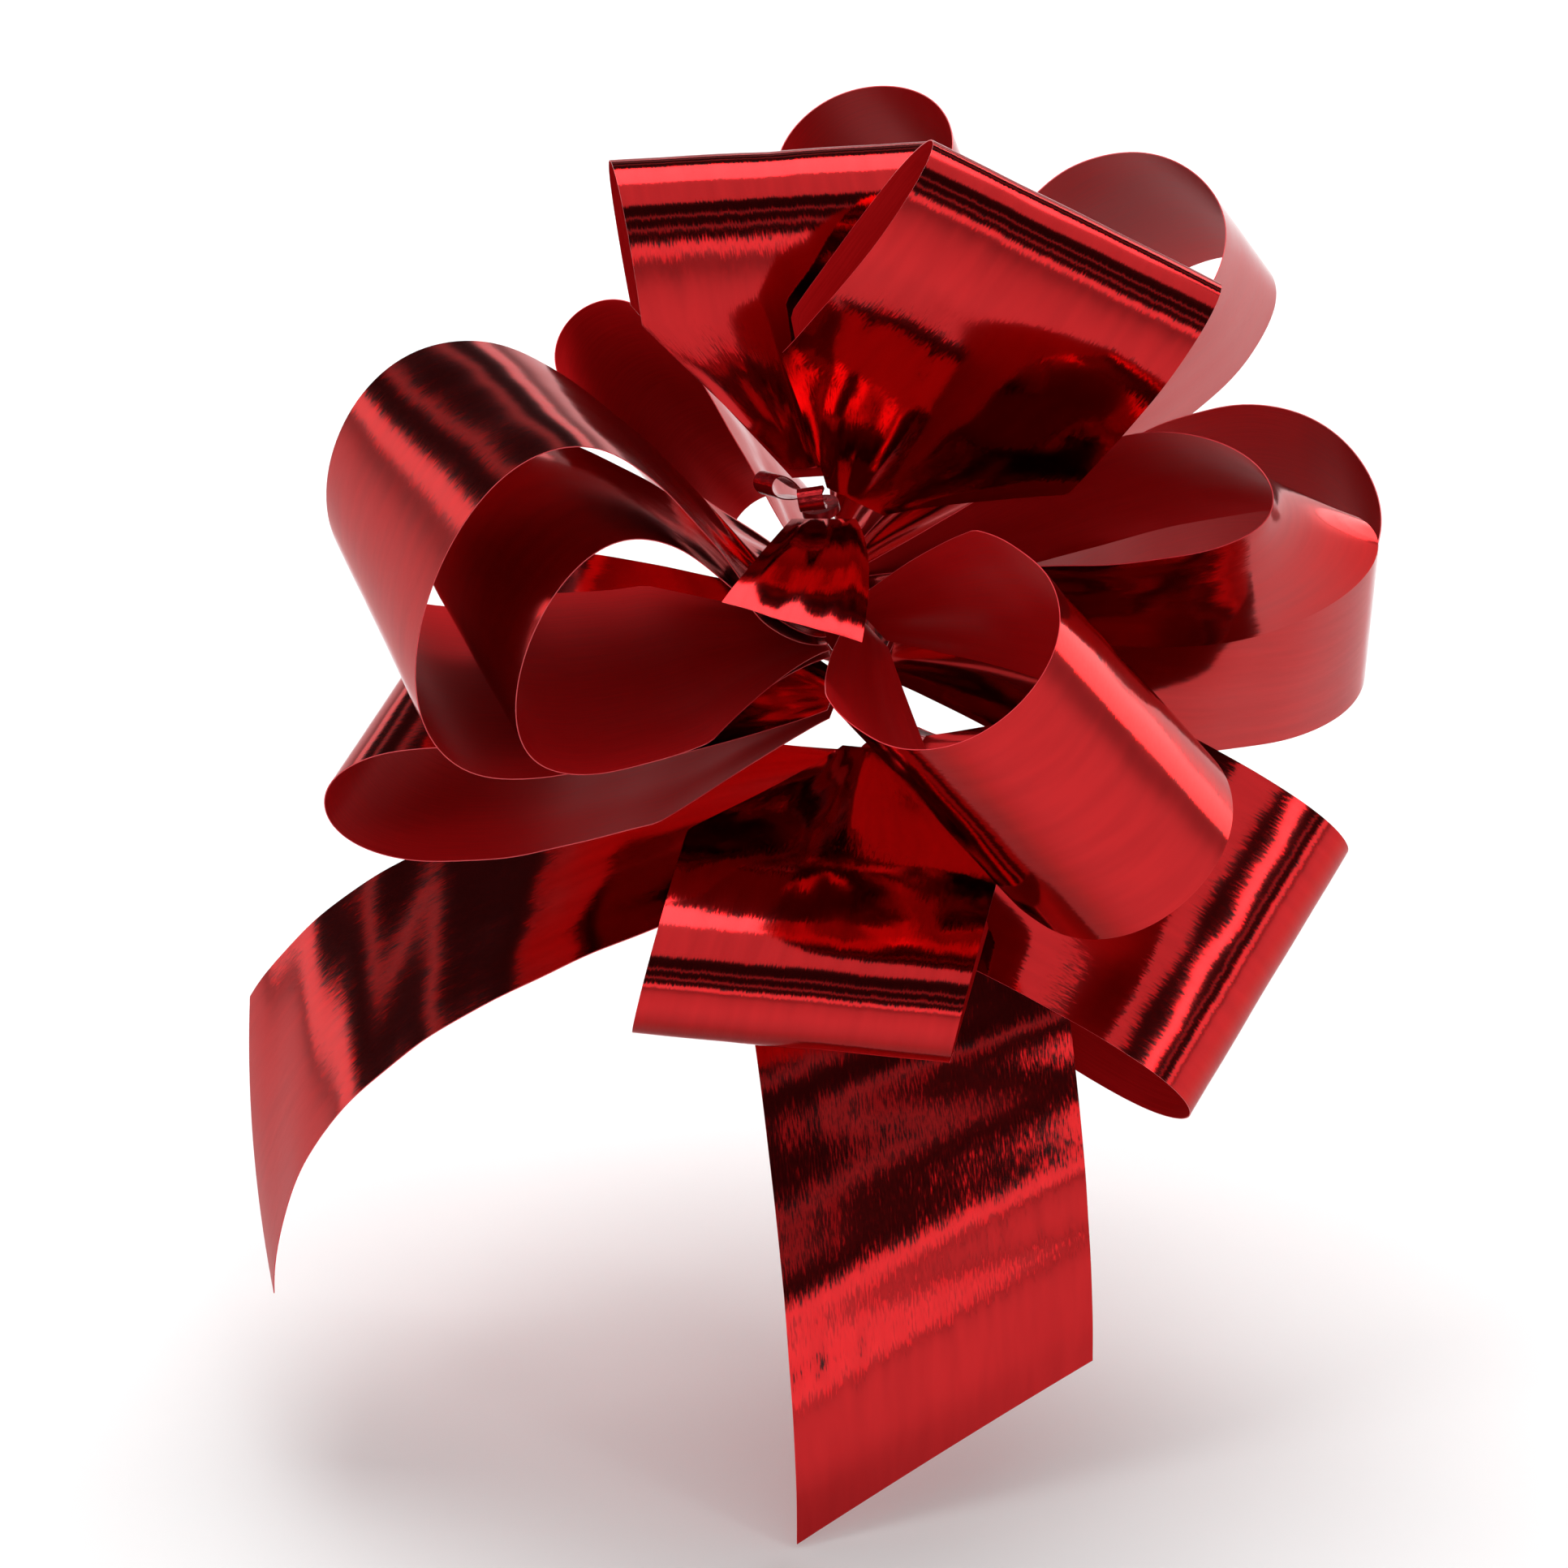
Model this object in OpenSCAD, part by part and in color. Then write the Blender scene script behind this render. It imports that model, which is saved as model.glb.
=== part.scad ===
// Pre-made gift bow: a pull bow of metallic ribbon film.
// The strip is welded at even steps, two layers at a time. Pulling two strings that run through
// the welds stacks them on one leaning column, and every length between two welds stands out
// as a loop. Two long tails and a short end flap are the strip's cut ends.
// Millimetres, +Z up. The origin is the foot of the weld column, where the bow is tied on.

/* [Ribbon] */
// Width of the ribbon
ribbon_w = 50; // [44:1:52]
// Thickness of the film
film_t = 0.2; // [0.1:0.05:0.3]
// Width left between the two V notches at a weld
waist_w = 10; // [8:1:12]
// Distance from a weld at which the notch has opened to the full width
notch_l = 24; // [20:1:30]

/* [Weld column] */
// Step from one loop to the next along the column
loop_step = 3.2; // [3:0.1:3.6]
// Lean of the column toward the left
column_lean = 12; // [8:1:16]
// Diameter of a weld
weld_d = 6; // [5:0.5:6.5]
// Thickness of a weld
weld_t = 1.4; // [0.8:0.2:2]
// Width of a pull string
string_w = 2; // [1.5:0.5:2.5]
// Thickness of a pull string
string_t = 0.5; // [0.4:0.1:0.8]

/* [Mesh] */
// Steps along one loop or tail
film_steps = 40; // [24:4:48]

/* [Hidden] */
film_columns = 2;
// Height of the front view above level, in degrees.
view_lift = 30;
loop_count = 14;
column_l = loop_count * loop_step;
column_axis = [-sin(column_lean), 0, cos(column_lean)];
weld_step = 2 * loop_step;
string_gap = 1.4;
string_slack = 0.1;
knot_h = 5;
neck_off = 5;
foil_red = [0.72, 0.06, 0.09];
weld_red = [0.5, 0.04, 0.06];
string_red = [0.66, 0.08, 0.1];

// ---- Directions ----

function unit(v) = v / norm(v);

// A direction given as the front view shows it: [to the right, up, toward the viewer].
function from_front(v) = unit([
    v[0],
    v[1] * sin(view_lift) - v[2] * cos(view_lift),
    v[1] * cos(view_lift) + v[2] * sin(view_lift)
]);

// The part of a direction that stands square to another.
function square_to(v, base) = unit(v - (v * base) * base);

// ---- Film ----

// Half the film's width at a distance from its weld, inside the notch and beyond it.
function half_width(distance, notch, full_w = ribbon_w, neck_w = waist_w) =
    (neck_w + (full_w - neck_w) * min(1, distance / notch)) / 2;

// The film's normal at one point of a grid, from its neighbours along and across.
function film_normal(grid, i, j) =
    let (last_i = len(grid) - 1)
    let (last_j = len(grid[0]) - 1)
    let (along = grid[min(i + 1, last_i)][j] - grid[max(i - 1, 0)][j])
    let (across = grid[i][min(j + 1, last_j)] - grid[i][max(j - 1, 0)])
    unit(cross(along, across));

// The triangles between two lines of point numbers.
function ladder(a, b) = [
    for (k = [0 : len(a) - 2])
        each [[a[k], b[k], b[k + 1]], [a[k], b[k + 1], a[k + 1]]]
];

// A film of even thickness over a grid of points, rows along the ribbon.
module film(grid) {
    rows = len(grid);
    columns = len(grid[0]);
    skin_size = rows * columns;
    points = [
        for (side = [1, -1])
            for (i = [0 : rows - 1])
                for (j = [0 : columns - 1])
                    grid[i][j] + side * film_t / 2 * film_normal(grid, i, j)
    ];
    function line(skin, i) = [for (j = [0 : columns - 1]) skin * skin_size + i * columns + j];
    function rim(skin) = [
        for (i = [0 : rows - 1]) skin * skin_size + i * columns,
        for (j = [1 : columns - 1]) skin * skin_size + (rows - 1) * columns + j,
        for (i = [rows - 2 : -1 : 0]) skin * skin_size + i * columns + columns - 1,
        for (j = [columns - 2 : -1 : 0]) skin * skin_size + j
    ];
    faces = [
        for (i = [0 : rows - 2]) each ladder(line(0, i + 1), line(0, i)),
        for (i = [0 : rows - 2]) each ladder(line(1, i), line(1, i + 1)),
        each ladder(rim(1), rim(0))
    ];
    polyhedron(points = points, faces = faces, convexity = 8);
}

// One loop between two neighbouring welds.
// slot: place on the column, counted from the foot.  reach: length out from the column.
// toward: the way it points.  across: the way its width lies, both as the front view shows them.
// belly: greatest opening.  peak: 1 for a round loop, larger to push the belly outward.
// off: start of the neck from the column's middle.  mouth: gap between the two layers there.
// skew: how much longer one edge runs.  drift: sideways shift of the far end.
// twist: turn of the width on the way out and back.  full_w, neck_w: width beyond the notch and in it.
module loop(slot, toward, across, reach, belly, peak = 2, off = neck_off, notch = notch_l,
            mouth = 1.6, skew = 0, drift = 0, twist = 0, full_w = ribbon_w, neck_w = waist_w) {
    out = from_front(toward);
    wide = square_to(from_front(across), out);
    side = cross(out, wide);
    upper = side * column_axis > 0 ? 1 : -1;
    // The largest value the bulge formula reaches, to make the belly come out as asked.
    top = 2 * pow((peak + 1) / (peak + 2), (peak + 1) / 2) / sqrt(peak + 2);
    film([
        for (i = [0 : film_steps])
            let (turn = 360 * i / film_steps)
            let (far = (1 - cos(turn)) / 2)
            let (along = reach * far)
            let (bulge = belly / 2 * sin(turn) * pow(sin(turn / 2), peak) / top)
            let (half = half_width(norm([along, bulge]), notch, full_w, neck_w))
            let (swing = twist * sin(turn))
            let (ruling = cos(swing) * wide + sin(swing) * out)
            let (level = (slot + 0.5) * loop_step + upper * mouth * (0.5 - i / film_steps))
            let (root = level * column_axis + off * out + drift * far * wide)
            [
                for (j = [0 : film_columns])
                    let (shift = (2 * j / film_columns - 1) * half)
                    let (slant = skew * shift / (full_w / 2))
                    root + (1 + slant) * along * out + (1 - 2 * slant) * bulge * side + shift * ruling
            ]
    ]);
}

// A free length of ribbon along a four-point curve.
// wide_start, wide_end: the way its width lies.  cut: slant of the cut end.
module tail(path, wide_start, wide_end, cut, notch = notch_l) {
    film([
        for (i = [0 : film_steps]) [
            for (j = [0 : film_columns])
                let (v = 2 * j / film_columns - 1)
                let (t = i / film_steps * (1 + cut * v) / (1 + abs(cut)))
                let (u = 1 - t)
                let (spot = pow(u, 3) * path[0] + 3 * u * u * t * path[1]
                          + 3 * u * t * t * path[2] + pow(t, 3) * path[3])
                let (wide = unit(wide_start * u + wide_end * t))
                spot + v * half_width(norm(spot - path[0]), notch) * wide
        ]
    ]);
}

// ---- Loops, from the top of the column down ----

module loop_top_front() {
    color(foil_red)
        loop(slot = 13, toward = [-0.02, 0.8, 0.24], across = [0.99, 0.085, -0.12],
             reach = 52, belly = 18, off = 8, notch = 28, drift = -7);
}

module loop_top_right() {
    color(foil_red)
        loop(slot = 12, toward = [0.53, 0.82, 0.85], across = [0.8, -0.6, -0.3],
             reach = 70, belly = 18, off = 10, drift = 6);
}

module loop_back_top() {
    color(foil_red)
        loop(slot = 11, toward = [0.18, 0.78, -0.68], across = [0.276, -0.244, -0.93],
             reach = 80, belly = 24, off = 6, skew = 0.1, notch = 30);
}

module loop_back_left() {
    color(foil_red)
        loop(slot = 8, toward = [-0.48, 0.52, -1], across = [-0.45, 0.5, 0.75],
             reach = 70, belly = 18, notch = 50);
}

module loop_front() {
    color(foil_red)
        loop(slot = 8, toward = [0.5, -0.36, 0.8], across = [0.53, -0.575, -0.62],
             reach = 74, belly = 37, peak = 1, off = 8, notch = 40);
}

module loop_back_right() {
    color(foil_red)
        loop(slot = 10, toward = [0.76, 0.68, -0.36], across = [0.3, -0.15, -0.94],
             reach = 84, belly = 26, skew = 0.1, notch = 32);
}

module loop_right_front() {
    color(foil_red)
        loop(slot = 9, toward = [0.88, 0.13, 0.34], across = [0.14, 0.4, 0.9],
             reach = 73, belly = 20, twist = 40, notch = 76);
}

module loop_left_large() {
    color(foil_red)
        loop(slot = 6, toward = [-0.9, 0.25, 0.27], across = [0.3, -0.436, 0.81],
             reach = 74, belly = 50, mouth = 4, skew = -0.06);
}

module loop_left_inner() {
    color(foil_red)
        loop(slot = 6, toward = [-0.9, 0.25, 0.27], across = [0.3, -0.436, 0.81],
             reach = 62, belly = 34, skew = -0.1, drift = 14, mouth = 1.2);
}

module loop_right_large() {
    color(foil_red)
        loop(slot = 5, toward = [0.96, 0.18, -0.4], across = [0, 0.51, 0.86],
             reach = 84, belly = 32, skew = -0.07, notch = 28);
}

module loop_left_lower() {
    color(foil_red)
        loop(slot = 3, toward = [-0.95, -0.05, -0.3], across = [-0.1, -0.55, 0.82],
             reach = 74, belly = 24, skew = 0.06);
}

module loop_base_back() {
    color(foil_red)
        loop(slot = 2, toward = [0.5, -0.28, -0.85], across = [0.8, -0.2, 0.5],
             reach = 66, belly = 12, off = 8, notch = 50);
}

module loop_back_under() {
    color(foil_red)
        loop(slot = 4, toward = [0.2, 0.3, -0.95], across = [-1, -0.15, -0.25],
             reach = 54, belly = 11, off = 9, notch = 46);
}

module loop_base_front() {
    color(foil_red)
        loop(slot = 1, toward = [0.02, -0.8, 0.72], across = [0.985, -0.06, -0.16],
             reach = 60, belly = 22, drift = -14, notch = 28);
}

module loop_base_right() {
    color(foil_red)
        loop(slot = 0, toward = [0.82, -0.5, 0], across = [0.43, 0.85, -0.25],
             reach = 66, belly = 24, off = 6);
}

// ---- Cut ends of the strip ----

module tail_left() {
    color(foil_red)
        tail(path = [[-5, 0, -2], [-45, 0, -22], [-100, 0, -34], [-101, 0, -82]],
             wide_start = [0, -1, 0], wide_end = [0.2, -0.97, -0.1], cut = 0.09);
}

module tail_lower() {
    color(foil_red)
        tail(path = [[0, -8, -8], [6, -28, -36], [11, -44, -76], [10, -46, -112]],
             wide_start = [1, 0, 0], wide_end = [0.92, 0.38, 0], cut = -0.11);
}

module end_flap() {
    color(foil_red)
        tail(path = [[-9, -8, 47], [-9, -20, 50], [-11, -31, 50], [-14, -39, 46]],
             wide_start = [1, 0, 0], wide_end = [0.96, -0.2, -0.2], cut = 0, notch = 100);
}

// ---- Column ----

// Places its children at a height on the column, square to it.
module on_column(height) {
    translate(height * column_axis)
        rotate([0, -column_lean, 0])
            children();
}

// The two flat strings side by side, as long as asked and as wide as their slack adds.
module string_pair(length, slack = 0) {
    for (side = [-1, 1])
        translate([-string_w / 2 - slack, side * string_gap - string_t / 2 - slack, 0])
            cube([string_w + 2 * slack, string_t + 2 * slack, length]);
}

// One weld: a disc of fused film with a slot for each string.
module weld(number) {
    color(weld_red)
        on_column((number - 1) * weld_step)
            difference() {
                cylinder(d = weld_d, h = weld_t, $fn = 48);
                translate([0, 0, -1])
                    string_pair(weld_t + 2, string_slack);
            }
}

module pull_string(side) {
    color(string_red)
        on_column(0)
            translate([-string_w / 2, side * string_gap - string_t / 2, -knot_h])
                cube([string_w, string_t, column_l + knot_h + weld_t]);
}

// The knot at the foot: a rounded lump around both strings.
module string_knot() {
    color(string_red)
        on_column(-knot_h)
            difference() {
                rotate_extrude($fn = 32)
                    intersection() {
                        scale([1, 0.9]) translate([0, 2.5]) circle(d = weld_d - 0.6, $fn = 32);
                        square([weld_d, knot_h - 0.6]);
                    }
                translate([0, 0, -1])
                    string_pair(knot_h + 2, string_slack);
            }
}

// The string's two folded ends, small loops that lean forward off the top of the column.
module string_end(toward, across) {
    color(string_red)
        loop(slot = loop_count + 0.2, toward = toward, across = across,
             reach = 9, belly = 3, off = 4.5, notch = 4, full_w = 4, neck_w = string_w);
}

loop_top_front();
loop_top_right();
loop_back_top();
loop_back_right();
loop_right_front();
loop_right_large();
loop_front();
loop_left_large();
loop_left_inner();
loop_left_lower();
loop_back_left();
loop_base_front();
loop_base_right();
loop_base_back();
loop_back_under();
tail_left();
tail_lower();
end_flap();
weld(1);  // weld_1
weld(2);  // weld_2
weld(3);  // weld_3
weld(4);  // weld_4
weld(5);  // weld_5
weld(6);  // weld_6
weld(7);  // weld_7
weld(8);  // weld_8
pull_string(-1);  // pull_string_front
pull_string(1);  // pull_string_back
string_knot();
string_end([-0.65, 0.2, 0.75], [0.7, -0.2, 0.6]);  // string_end_left
string_end([-0.1, 0, 1], [1, 0.15, 0]);  // string_end_right
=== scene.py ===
"""Looks of the pre-made gift bow: mirror-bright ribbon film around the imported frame."""

import math

import bpy
import numpy as np
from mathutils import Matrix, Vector


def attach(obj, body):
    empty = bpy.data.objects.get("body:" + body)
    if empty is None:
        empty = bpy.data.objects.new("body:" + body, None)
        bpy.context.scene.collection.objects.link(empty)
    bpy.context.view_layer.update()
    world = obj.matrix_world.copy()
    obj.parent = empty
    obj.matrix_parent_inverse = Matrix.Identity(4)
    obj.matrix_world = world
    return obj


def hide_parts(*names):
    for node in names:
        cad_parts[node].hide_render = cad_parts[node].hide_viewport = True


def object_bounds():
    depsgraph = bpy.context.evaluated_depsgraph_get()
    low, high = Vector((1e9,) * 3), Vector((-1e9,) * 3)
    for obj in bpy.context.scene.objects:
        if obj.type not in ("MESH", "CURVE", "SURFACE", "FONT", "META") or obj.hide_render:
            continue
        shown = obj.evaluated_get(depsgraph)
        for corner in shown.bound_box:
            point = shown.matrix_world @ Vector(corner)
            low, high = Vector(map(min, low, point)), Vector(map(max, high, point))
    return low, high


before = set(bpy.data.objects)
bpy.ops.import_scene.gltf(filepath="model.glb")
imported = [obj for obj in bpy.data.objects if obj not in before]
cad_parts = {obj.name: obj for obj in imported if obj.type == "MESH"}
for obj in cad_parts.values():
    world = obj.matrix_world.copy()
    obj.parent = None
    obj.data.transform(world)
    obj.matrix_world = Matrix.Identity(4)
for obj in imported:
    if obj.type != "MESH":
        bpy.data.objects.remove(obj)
cad_low, cad_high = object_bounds()

MM = 0.001

# The ribbon and the weld column, as in the CAD, in millimetres and degrees.
RIBBON_W = 50.0
WAIST_W = 10.0
NOTCH_L = 24.0
LOOP_STEP = 3.2
COLUMN_LEAN = 12.0
MOUTH = 1.6
FILM_T = 0.16

# Height of the front view above level, in degrees.
VIEW_LIFT = 30.0

# Height of the folds that fan out of a neck; a loop with a narrow mouth has room for less.
FOLD_H = 0.45
NARROW_FOLD_H = 0.3
TAIL_FOLD_H = 0.5

# Loops and cut ends, each with the CAD's own values.  toward and across say which way a loop
# points and which way its width lies, as the front view shows them: right, up, toward the viewer.
LOOPS = {
    "loop_top_front": dict(slot=13, toward=(-0.02, 0.8, 0.24), across=(0.99, 0.085, -0.12),
        reach=52, belly=18, off=8, notch=28, drift=-7),
    "loop_top_right": dict(slot=12, toward=(0.53, 0.82, 0.85), across=(0.8, -0.6, -0.3),
        reach=70, belly=18, off=10, drift=6),
    "loop_back_top": dict(slot=11, toward=(0.18, 0.78, -0.68), across=(0.276, -0.244, -0.93),
        reach=80, belly=24, off=6, skew=0.1, notch=30),
    "loop_back_left": dict(slot=8, toward=(-0.48, 0.52, -1), across=(-0.45, 0.5, 0.75),
        reach=70, belly=18, notch=50),
    "loop_front": dict(slot=8, toward=(0.5, -0.36, 0.8), across=(0.53, -0.575, -0.62),
        reach=74, belly=37, peak=1, off=8, notch=40),
    "loop_back_right": dict(slot=10, toward=(0.76, 0.68, -0.36), across=(0.3, -0.15, -0.94),
        reach=84, belly=26, skew=0.1, notch=32),
    "loop_right_front": dict(slot=9, toward=(0.88, 0.13, 0.34), across=(0.14, 0.4, 0.9),
        reach=73, belly=20, twist=40, notch=76),
    "loop_left_large": dict(slot=6, toward=(-0.9, 0.25, 0.27), across=(0.3, -0.436, 0.81),
        reach=74, belly=50, mouth=4, skew=-0.06),
    "loop_left_inner": dict(slot=6, toward=(-0.9, 0.25, 0.27), across=(0.3, -0.436, 0.81),
        reach=62, belly=34, skew=-0.1, drift=14, mouth=1.2),
    "loop_right_large": dict(slot=5, toward=(0.96, 0.18, -0.4), across=(0, 0.51, 0.86),
        reach=84, belly=32, skew=-0.07, notch=28),
    "loop_left_lower": dict(slot=3, toward=(-0.95, -0.05, -0.3), across=(-0.1, -0.55, 0.82),
        reach=74, belly=24, skew=0.06),
    "loop_base_back": dict(slot=2, toward=(0.5, -0.28, -0.85), across=(0.8, -0.2, 0.5),
        reach=66, belly=12, off=8, notch=50),
    "loop_back_under": dict(slot=4, toward=(0.2, 0.3, -0.95), across=(-1, -0.15, -0.25),
        reach=54, belly=11, off=9, notch=46),
    "loop_base_front": dict(slot=1, toward=(0.02, -0.8, 0.72), across=(0.985, -0.06, -0.16),
        reach=60, belly=22, drift=-14, notch=28),
    "loop_base_right": dict(slot=0, toward=(0.82, -0.5, 0), across=(0.43, 0.85, -0.25),
        reach=66, belly=24, off=6),
}
TAILS = {
    "tail_left": dict(path=[(-5, 0, -2), (-45, 0, -22), (-100, 0, -34), (-101, 0, -82)],
                      wide_start=(0, -1, 0), wide_end=(0.2, -0.97, -0.1), cut=0.09),
    "tail_lower": dict(path=[(0, -8, -8), (6, -28, -36), (11, -44, -76), (10, -46, -112)],
                       wide_start=(1, 0, 0), wide_end=(0.92, 0.38, 0), cut=-0.11),
    "end_flap": dict(path=[(-9, -8, 47), (-9, -20, 50), (-11, -31, 50), (-14, -39, 46)],
                     wide_start=(1, 0, 0), wide_end=(0.96, -0.2, -0.2), cut=0.0, notch=100),
}

# Mesh steps along a loop, along a tail and across the ribbon.
LOOP_STEPS = 144
TAIL_STEPS = 96
COLUMNS = 20

column_axis = np.array([-math.sin(math.radians(COLUMN_LEAN)), 0,
                        math.cos(math.radians(COLUMN_LEAN))])


# ---- Shape of the film ----

def unit(vector):
    vector = np.asarray(vector, dtype=float)
    return vector / np.linalg.norm(vector)


def half_width(distance, notch):
    """Half the ribbon's width at a distance from its weld."""
    return (WAIST_W + (RIBBON_W - WAIST_W) * np.minimum(1, distance / notch)) / 2


def from_front(direction):
    """A direction given as the front view shows it: to the right, up, toward the viewer."""
    right, up, near = direction
    lift = math.radians(VIEW_LIFT)
    return unit((right, up * math.sin(lift) - near * math.cos(lift),
                 up * math.cos(lift) + near * math.sin(lift)))


def loop_frame(toward, across):
    """A loop's heading, the way its width lies, and the way it bulges."""
    out = from_front(toward)
    wide = from_front(across)
    wide = unit(wide - (wide @ out) * out)
    return out, wide, np.cross(out, wide)


def loop_surface(slot, toward, across, reach, belly, peak=2, off=5, notch=NOTCH_L, mouth=MOUTH,
                 skew=0, drift=0, twist=0):
    """A grid of points on one loop's middle surface, with each row's distance from the weld."""
    out, wide, side = loop_frame(toward, across)
    t = np.linspace(0, 1, LOOP_STEPS + 1)
    turn = 2 * math.pi * t
    far = (1 - np.cos(turn)) / 2
    along = reach * far
    top = 2 * ((peak + 1) / (peak + 2)) ** ((peak + 1) / 2) / math.sqrt(peak + 2)
    bulge = belly / 2 * np.sin(turn) * np.sin(turn / 2) ** peak / top
    distance = np.hypot(along, bulge)
    half = half_width(distance, notch)
    swing = math.radians(twist) * np.sin(turn)
    ruling = np.cos(swing)[:, None] * wide + np.sin(swing)[:, None] * out
    upper = 1 if side @ column_axis > 0 else -1
    level = (slot + 0.5) * LOOP_STEP + upper * mouth * (0.5 - t)
    root = level[:, None] * column_axis + off * out + drift * far[:, None] * wide
    v = np.linspace(-1, 1, COLUMNS + 1)
    shift = half[:, None] * v
    slant = skew * shift / (RIBBON_W / 2)
    points = (root[:, None] + ((1 + slant) * along[:, None])[..., None] * out
              + ((1 - 2 * slant) * bulge[:, None])[..., None] * side
              + shift[..., None] * ruling[:, None])
    return points, distance


def tail_surface(path, wide_start, wide_end, cut, notch=NOTCH_L):
    """A grid of points on a free length of ribbon along a four-point curve."""
    path = np.array(path, dtype=float)
    start, end = np.array(wide_start, dtype=float), np.array(wide_end, dtype=float)
    points = np.zeros((TAIL_STEPS + 1, COLUMNS + 1, 3))
    for i in range(TAIL_STEPS + 1):
        for j in range(COLUMNS + 1):
            v = 2 * j / COLUMNS - 1
            t = i / TAIL_STEPS * (1 + cut * v) / (1 + abs(cut))
            u = 1 - t
            spot = (u ** 3 * path[0] + 3 * u * u * t * path[1] + 3 * u * t * t * path[2]
                    + t ** 3 * path[3])
            wide = unit(start * u + end * t)
            half = half_width(np.linalg.norm(spot - path[0]), notch)
            points[i, j] = spot + v * half * wide
    middle = points[:, COLUMNS // 2]
    return points, np.linalg.norm(middle - middle[0], axis=1)


def surface_normals(points):
    """Unit normals of a grid of points."""
    along = np.gradient(points, axis=0)
    across = np.gradient(points, axis=1)
    normals = np.cross(along, across)
    return normals / (np.linalg.norm(normals, axis=2, keepdims=True) + 1e-12)


def creases(distance, phase, height, spread=16.0):
    """Folds that fan out of the waist and die away, and faint bends across the ribbon."""
    v = np.linspace(-1, 1, COLUMNS + 1)
    near = distance / spread * np.exp(1 - distance / spread)
    fan = np.abs(np.sin(2.3 * v + phase)) + 0.5 * np.abs(np.sin(4.7 * v - 1.7 * phase)) - 0.9
    bends = 0.10 * np.sin(distance / 4.1 + phase) + 0.06 * np.sin(distance / 2.3 + 2.0 * phase)
    away = np.minimum(1, distance / 30.0)
    return height * near[:, None] * fan + (bends * away)[:, None]


def film_mesh(name, points, distance, phase, height):
    """A closed sheet of film: face 0 is the foil side, 1 the satin side, 2 the cut edge."""
    points = points + creases(distance, phase, height)[..., None] * surface_normals(points)
    normals = surface_normals(points)
    rows, columns = points.shape[:2]
    skins = [points + side * FILM_T / 2 * normals for side in (1, -1)]
    verts = np.concatenate([skin.reshape(-1, 3) for skin in skins]) * MM
    skin_size = rows * columns
    faces, kinds = [], []

    def at(skin, i, j):
        return skin * skin_size + i * columns + j

    for i in range(rows - 1):
        for j in range(columns - 1):
            faces.append((at(0, i, j), at(0, i + 1, j), at(0, i + 1, j + 1), at(0, i, j + 1)))
            faces.append((at(1, i, j), at(1, i, j + 1), at(1, i + 1, j + 1), at(1, i + 1, j)))
            kinds += [0, 1]
    rim = ([(i, 0) for i in range(rows)] + [(rows - 1, j) for j in range(1, columns)]
           + [(i, columns - 1) for i in range(rows - 2, -1, -1)]
           + [(0, j) for j in range(columns - 2, -1, -1)])
    for (i, j), (p, q) in zip(rim, rim[1:]):
        faces.append((at(0, i, j), at(1, i, j), at(1, p, q), at(0, p, q)))
        kinds.append(2)

    mesh = bpy.data.meshes.new(name)
    mesh.from_pydata([tuple(v) for v in verts], [], faces)
    mesh.polygons.foreach_set("material_index", kinds)
    mesh.polygons.foreach_set("use_smooth", [kind < 2 for kind in kinds])

    steps = np.linalg.norm(np.diff(points[:, columns // 2], axis=0), axis=1)
    run = np.concatenate([[0], np.cumsum(steps)]) * MM
    widths = np.linalg.norm(points[:, -1] - points[:, 0], axis=1) * MM
    cut_area = float(np.sum((widths[1:] + widths[:-1]) / 2 * np.diff(run)))

    # Ribbon coordinates in metres, along and across, so that grain has one size on every piece.
    across = np.linspace(-0.5, 0.5, columns) * RIBBON_W * MM
    corner_verts = np.zeros(len(mesh.loops), dtype=int)
    mesh.loops.foreach_get("vertex_index", corner_verts)
    cell = corner_verts % skin_size
    uv = np.stack([run[cell // columns] + phase, across[cell % columns]], axis=1)
    mesh.uv_layers.new(name="ribbon").data.foreach_set("uv", uv.ravel())

    # The skins meet the cut edge in a sharp line.
    kinds_at_edge = {}
    for polygon, kind in zip(mesh.polygons, kinds):
        for key in polygon.edge_keys:
            kinds_at_edge.setdefault(key, set()).add(kind)
    sharp = [len(kinds_at_edge[tuple(sorted(edge.vertices))]) > 1 for edge in mesh.edges]
    mesh.attributes.new("sharp_edge", "BOOLEAN", "EDGE").data.foreach_set("value", sharp)
    mesh.update()
    return mesh, run[-1], cut_area


# ---- Materials ----

def new_material(name):
    """A material with its node tree's nodes and links, and its Principled shader."""
    material = bpy.data.materials.new(name)
    material.use_nodes = True
    nodes = material.node_tree.nodes
    return material, nodes, material.node_tree.links, nodes["Principled BSDF"]


def stretched_noise(nodes, links, along, across, detail=2.0):
    """Noise over the ribbon, with its own number of cells a metre along and across it."""
    uv = nodes.new("ShaderNodeUVMap")
    uv.uv_map = "ribbon"
    mapping = nodes.new("ShaderNodeMapping")
    mapping.inputs["Scale"].default_value = (along, across, 1)
    links.new(uv.outputs["UV"], mapping.inputs["Vector"])
    noise = nodes.new("ShaderNodeTexNoise")
    noise.noise_dimensions = "2D"
    noise.inputs["Scale"].default_value = 1.0
    noise.inputs["Detail"].default_value = detail
    links.new(mapping.outputs["Vector"], noise.inputs["Vector"])
    return noise.outputs["Fac"]


def math_node(nodes, links, operation, first, second):
    """One arithmetic step; each input is a number or another node's output."""
    node = nodes.new("ShaderNodeMath")
    node.operation = operation
    for socket, value in zip(node.inputs, (first, second)):
        if isinstance(value, (int, float)):
            socket.default_value = value
        else:
            links.new(value, socket)
    return node.outputs[0]


def centred(nodes, links, noise, amount):
    """Noise made to swing evenly either side of zero, over a span of amount."""
    shifted = math_node(nodes, links, "SUBTRACT", noise, 0.5)
    return math_node(nodes, links, "MULTIPLY", shifted, amount)


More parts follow.
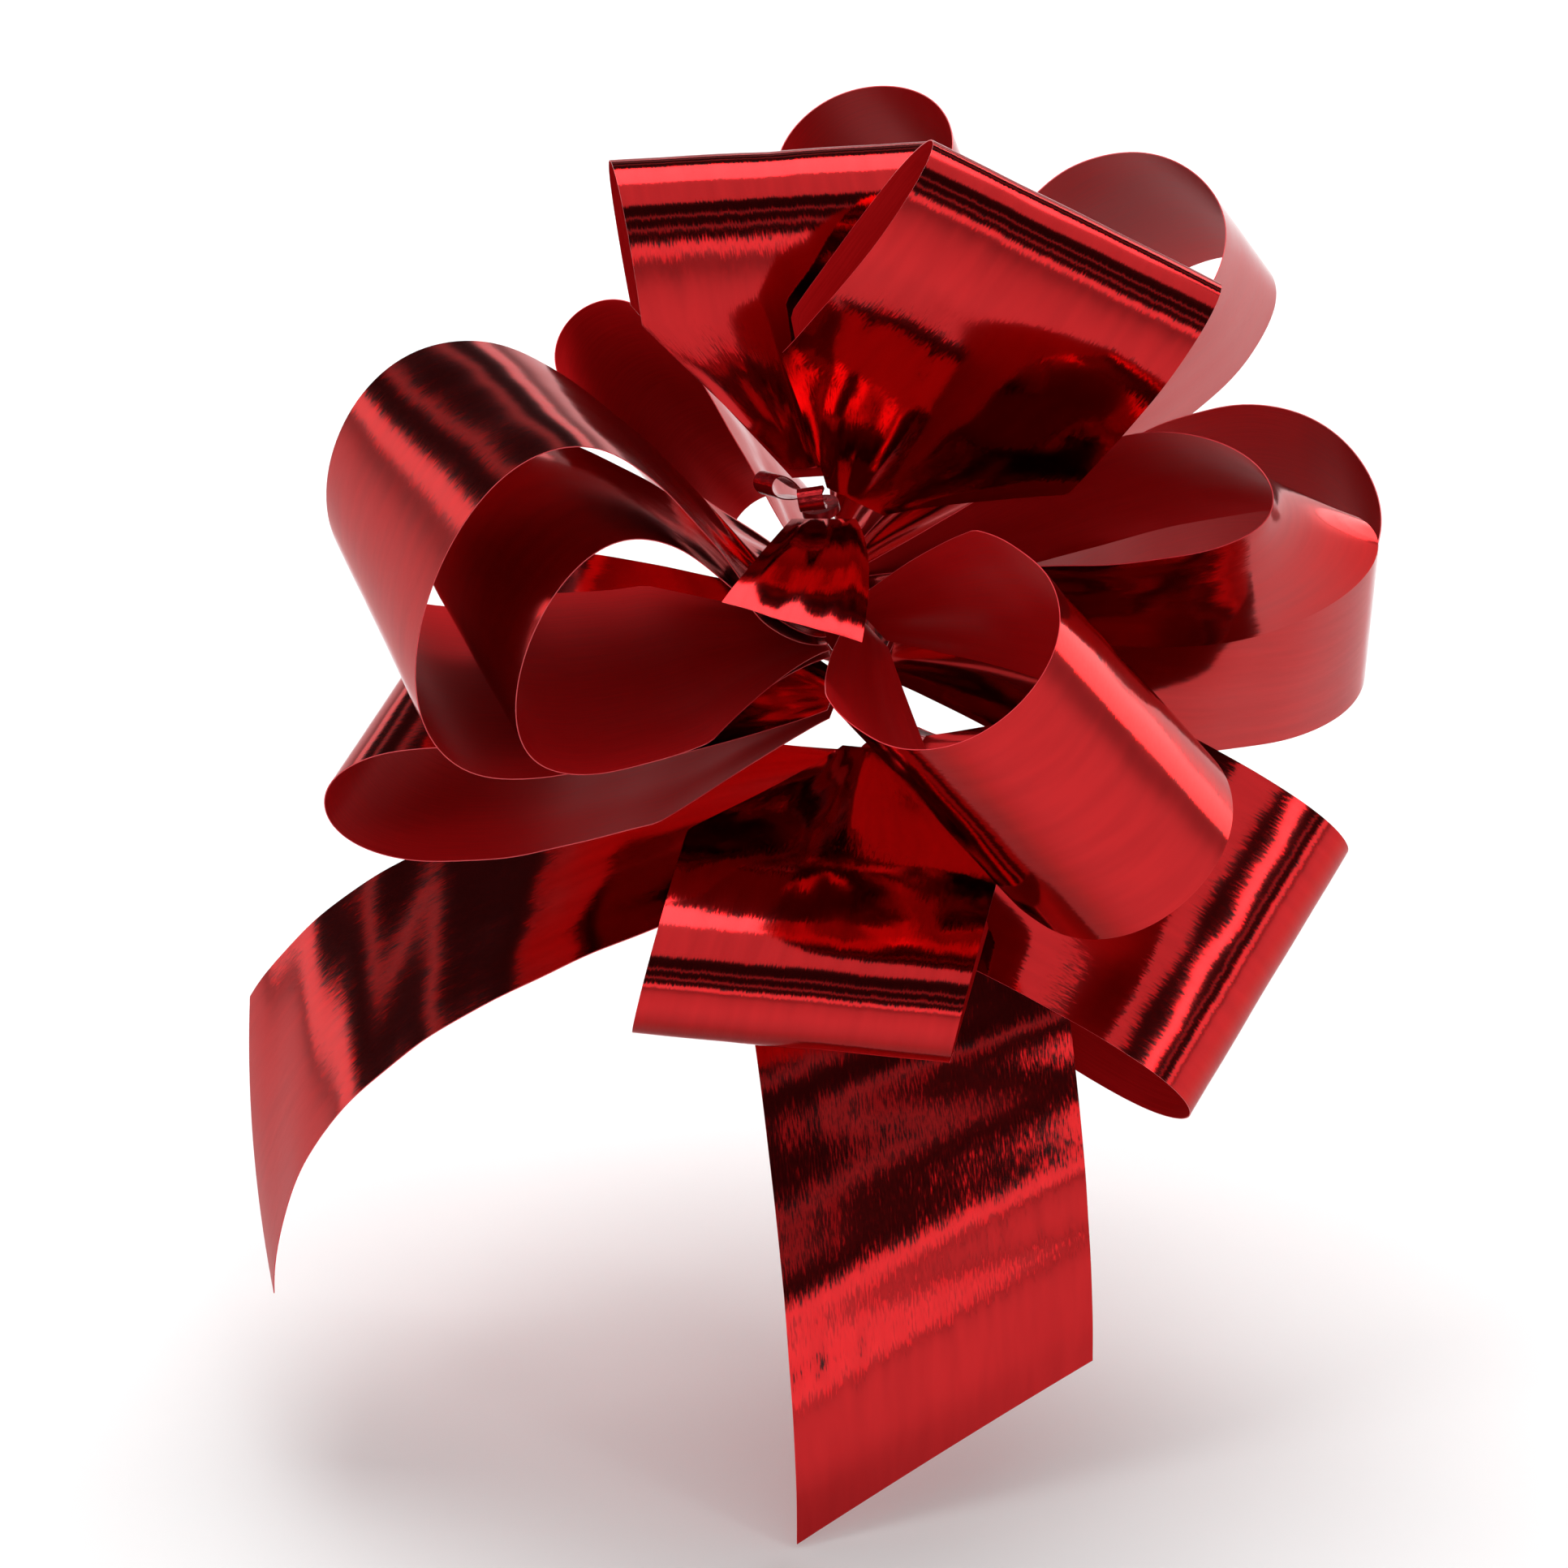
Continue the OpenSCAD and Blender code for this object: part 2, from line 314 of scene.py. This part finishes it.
def scaled_noise(nodes, links, noise, amount, least):
    """Noise turned into a value from least up to least + amount."""
    value = math_node(nodes, links, "MULTIPLY_ADD", noise, amount)
    value.node.inputs[2].default_value = least
    return value


def two_tone(nodes, links, noise, dark, light, low=0.0, high=1.0):
    """A colour that runs from dark to light as the noise goes from low to high."""
    ramp = nodes.new("ShaderNodeValToRGB")
    for element, place, color in zip(ramp.color_ramp.elements, (low, high), (dark, light)):
        element.position = place
        element.color = (*color, 1)
    links.new(noise, ramp.inputs["Fac"])
    return ramp.outputs["Color"]


def tilt_along(nodes, links, amount):
    """The surface normal, tipped along the ribbon by an amount that changes from place to place."""
    tangent = nodes.new("ShaderNodeTangent")
    tangent.direction_type = "UV_MAP"
    tangent.uv_map = "ribbon"
    geometry = nodes.new("ShaderNodeNewGeometry")
    scaled = nodes.new("ShaderNodeVectorMath")
    scaled.operation = "SCALE"
    links.new(tangent.outputs[0], scaled.inputs[0])
    links.new(amount, scaled.inputs["Scale"])
    added = nodes.new("ShaderNodeVectorMath")
    added.operation = "ADD"
    links.new(geometry.outputs["Normal"], added.inputs[0])
    links.new(scaled.outputs[0], added.inputs[1])
    normal = nodes.new("ShaderNodeVectorMath")
    normal.operation = "NORMALIZE"
    links.new(added.outputs[0], normal.inputs[0])
    return normal.outputs[0]


def foil_material():
    """The metallised side: a red mirror whose reflections fray along fine machine lines."""
    material, nodes, links, shader = new_material("red_foil")
    fine = stretched_noise(nodes, links, 500, 3600)
    wide = stretched_noise(nodes, links, 60, 400)
    tilt = math_node(nodes, links, "ADD", centred(nodes, links, fine, 0.09),
                     centred(nodes, links, wide, 0.05))
    links.new(tilt_along(nodes, links, tilt), shader.inputs["Normal"])
    color = two_tone(nodes, links, wide, (0.44, 0.005, 0.007), (0.50, 0.007, 0.009), 0.3, 0.7)
    links.new(color, shader.inputs["Base Color"])
    links.new(scaled_noise(nodes, links, fine, 0.10, 0.05), shader.inputs["Roughness"])
    shader.inputs["Metallic"].default_value = 1.0
    shader.inputs["Specular Tint"].default_value = (0.55, 0.04, 0.05, 1)
    shader.inputs["Coat Weight"].default_value = 0.45
    shader.inputs["Coat IOR"].default_value = 1.4
    shader.inputs["Coat Roughness"].default_value = 0.12
    return material


def satin_material():
    """The plain side of the film: satin red."""
    material, nodes, links, shader = new_material("red_satin")
    fine = stretched_noise(nodes, links, 90, 3600)
    color = two_tone(nodes, links, fine, (0.44, 0.005, 0.007), (0.52, 0.008, 0.010), 0.3, 0.7)
    links.new(color, shader.inputs["Base Color"])
    links.new(scaled_noise(nodes, links, fine, 0.12, 0.38), shader.inputs["Roughness"])
    shader.inputs["Metallic"].default_value = 0.25
    shader.inputs["Specular IOR Level"].default_value = 0.25
    shader.inputs["Specular Tint"].default_value = (0.60, 0.08, 0.09, 1)
    return material


def cut_edge_highlight_material():
    """The cut edge, a thin bright line: its own red made lighter, as a painted highlight."""
    material, nodes, links, shader = new_material("red_cut_edge_highlight")
    fine = stretched_noise(nodes, links, 700, 700)
    # Painted highlight: the edge's red is lighter than the foil's, so the edge shows as a bright
    # line.
    color = two_tone(nodes, links, fine, (0.55, 0.02, 0.03), (0.80, 0.06, 0.07))
    links.new(color, shader.inputs["Base Color"])
    shader.inputs["Roughness"].default_value = 0.35
    return material


def object_noise(nodes, links, scale, detail=2.0):
    """Noise over an object's own space."""
    place = nodes.new("ShaderNodeTexCoord")
    noise = nodes.new("ShaderNodeTexNoise")
    noise.inputs["Scale"].default_value = scale
    noise.inputs["Detail"].default_value = detail
    links.new(place.outputs["Object"], noise.inputs["Vector"])
    return noise.outputs["Fac"]


def column_material(name, dark, light, roughness):
    """Crushed film of the welds, and the strings' own film."""
    material, nodes, links, shader = new_material(name)
    noise = object_noise(nodes, links, 900.0, 4.0)
    color = two_tone(nodes, links, noise, dark, light, 0.35, 0.65)
    links.new(color, shader.inputs["Base Color"])
    bump = nodes.new("ShaderNodeBump")
    bump.inputs["Strength"].default_value = 0.4
    bump.inputs["Distance"].default_value = 0.3 * MM
    links.new(noise, bump.inputs["Height"])
    links.new(bump.outputs["Normal"], shader.inputs["Normal"])
    shader.inputs["Roughness"].default_value = roughness
    shader.inputs["Metallic"].default_value = 0.8
    return material


# ---- Pieces ----

def add_film(node, points, distance, phase, height):
    """One ribbon piece in place of its CAD node."""
    mesh, length, cut_area = film_mesh(node + "_film", points, distance, phase, height)
    for material in film_materials:
        mesh.materials.append(material)
    piece = bpy.data.objects.new(node + "_film", mesh)
    bpy.context.collection.objects.link(piece)
    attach(piece, node)
    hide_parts(node)


film_materials = [foil_material(), satin_material(), cut_edge_highlight_material()]

for number, (node, values) in enumerate(LOOPS.items()):
    points, distance = loop_surface(**values)
    height = NARROW_FOLD_H if values.get("mouth", MOUTH) < MOUTH else FOLD_H
    add_film(node, points, distance, 0.9 * number, height)

for number, (node, values) in enumerate(TAILS.items()):
    points, distance = tail_surface(**values)
    add_film(node, points, distance, 4.0 + 1.3 * number, TAIL_FOLD_H)

weld_look = column_material("crushed_film", (0.16, 0.004, 0.006), (0.34, 0.008, 0.012), 0.4)
string_look = column_material("string_film", (0.36, 0.010, 0.014), (0.50, 0.016, 0.022), 0.25)
for name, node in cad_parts.items():
    if name.startswith(("weld", "pull_string", "string")):
        look = weld_look if name.startswith("weld") else string_look
        node.data.materials.clear()
        node.data.materials.append(look)


# ---- Studio ----

def floor_material():
    """Plain pale floor, very slightly uneven in tone."""
    material, nodes, links, shader = new_material("pale_floor")
    noise = object_noise(nodes, links, 3.0)
    color = two_tone(nodes, links, noise, (0.86, 0.86, 0.86), (0.90, 0.90, 0.90))
    links.new(color, shader.inputs["Base Color"])
    shader.inputs["Roughness"].default_value = 0.8
    return material


def add_floor(height, size):
    """A square floor at a height, reaching size metres each way."""
    mesh = bpy.data.meshes.new("floor")
    corners = [(-size, -size, height), (size, -size, height), (size, size, height),
               (-size, size, height)]
    mesh.from_pydata(corners, [], [(0, 1, 2, 3)])
    mesh.materials.append(floor_material())
    floor = bpy.data.objects.new("floor", mesh)
    bpy.context.collection.objects.link(floor)


def add_light(name, place, target, size, power):
    """A soft box of a size and power at a place, turned to face its target."""
    data = bpy.data.lights.new(name, "AREA")
    data.shape = "RECTANGLE"
    data.size, data.size_y = size
    data.energy = power
    light = bpy.data.objects.new(name, data)
    light.location = place
    aim = Vector(target) - Vector(place)
    light.rotation_euler = aim.to_track_quat("-Z", "Y").to_euler()
    bpy.context.collection.objects.link(light)


# Bands of the room from floor level to overhead: height of the sight line, then brightness.
ROOM_BANDS = [(0.00, 0.55), (0.50, 1.70), (0.555, 0.03), (0.63, 0.55), (0.655, 0.03),
              (0.74, 0.50), (0.76, 0.03), (0.87, 1.00)]
BAND_BLUR = 0.006


def add_room():
    """A studio room in hard-edged level bands, which the foil shows as stripes."""
    world = bpy.data.worlds.new("studio")
    world.use_nodes = True
    nodes, links = world.node_tree.nodes, world.node_tree.links
    place = nodes.new("ShaderNodeTexCoord")
    split = nodes.new("ShaderNodeSeparateXYZ")
    links.new(place.outputs["Generated"], split.inputs[0])
    height = math_node(nodes, links, "MULTIPLY_ADD", split.outputs["Z"], 0.5)
    height.node.inputs[2].default_value = 0.5
    ramp = nodes.new("ShaderNodeValToRGB")
    ramp.color_ramp.elements.remove(ramp.color_ramp.elements[-1])
    last = ROOM_BANDS[0][1]
    ramp.color_ramp.elements[0].position = 0.0
    ramp.color_ramp.elements[0].color = (last, last, last, 1)
    for edge, level in ROOM_BANDS[1:]:
        for position, value in ((edge - BAND_BLUR, last), (edge + BAND_BLUR, level)):
            element = ramp.color_ramp.elements.new(position)
            element.color = (value, value, value, 1)
        last = level
    links.new(height, ramp.inputs["Fac"])
    links.new(ramp.outputs["Color"], nodes["Background"].inputs["Color"])
    nodes["Background"].inputs["Strength"].default_value = 1.0
    bpy.context.scene.world = world


def add_camera(elevation, distance, width, target):
    """Square on to the bow's front, raised, through a long lens."""
    data = bpy.data.cameras.new("camera")
    data.lens = data.sensor_width * distance / width
    data.clip_end = 100
    camera = bpy.data.objects.new("camera", data)
    away = Vector((0, -math.cos(elevation), math.sin(elevation)))
    camera.location = Vector(target) + distance * away
    camera.rotation_euler = (math.pi / 2 - elevation, 0, 0)
    bpy.context.collection.objects.link(camera)
    bpy.context.scene.camera = camera


add_floor(cad_low[2] - 0.001, 6.0)
add_room()
add_light("overhead", (0.1, 0.5, 1.3), (0, 0, 0), (1.6, 1.0), 18)
add_light("left_box", (-0.9, -0.5, 0.5), (0, 0, 0.02), (0.35, 0.8), 3)
add_light("right_strip", (0.8, -0.7, 0.45), (0, 0, 0.02), (0.12, 0.8), 1.2)
add_light("right_box", (0.9, 0.8, 0.20), (0, 0, 0.02), (1.2, 0.6), 7)
add_camera(math.radians(VIEW_LIFT), 3.0, 0.2473, (-0.0152, 0, -0.0053))
bpy.context.scene.view_settings.view_transform = "Standard"
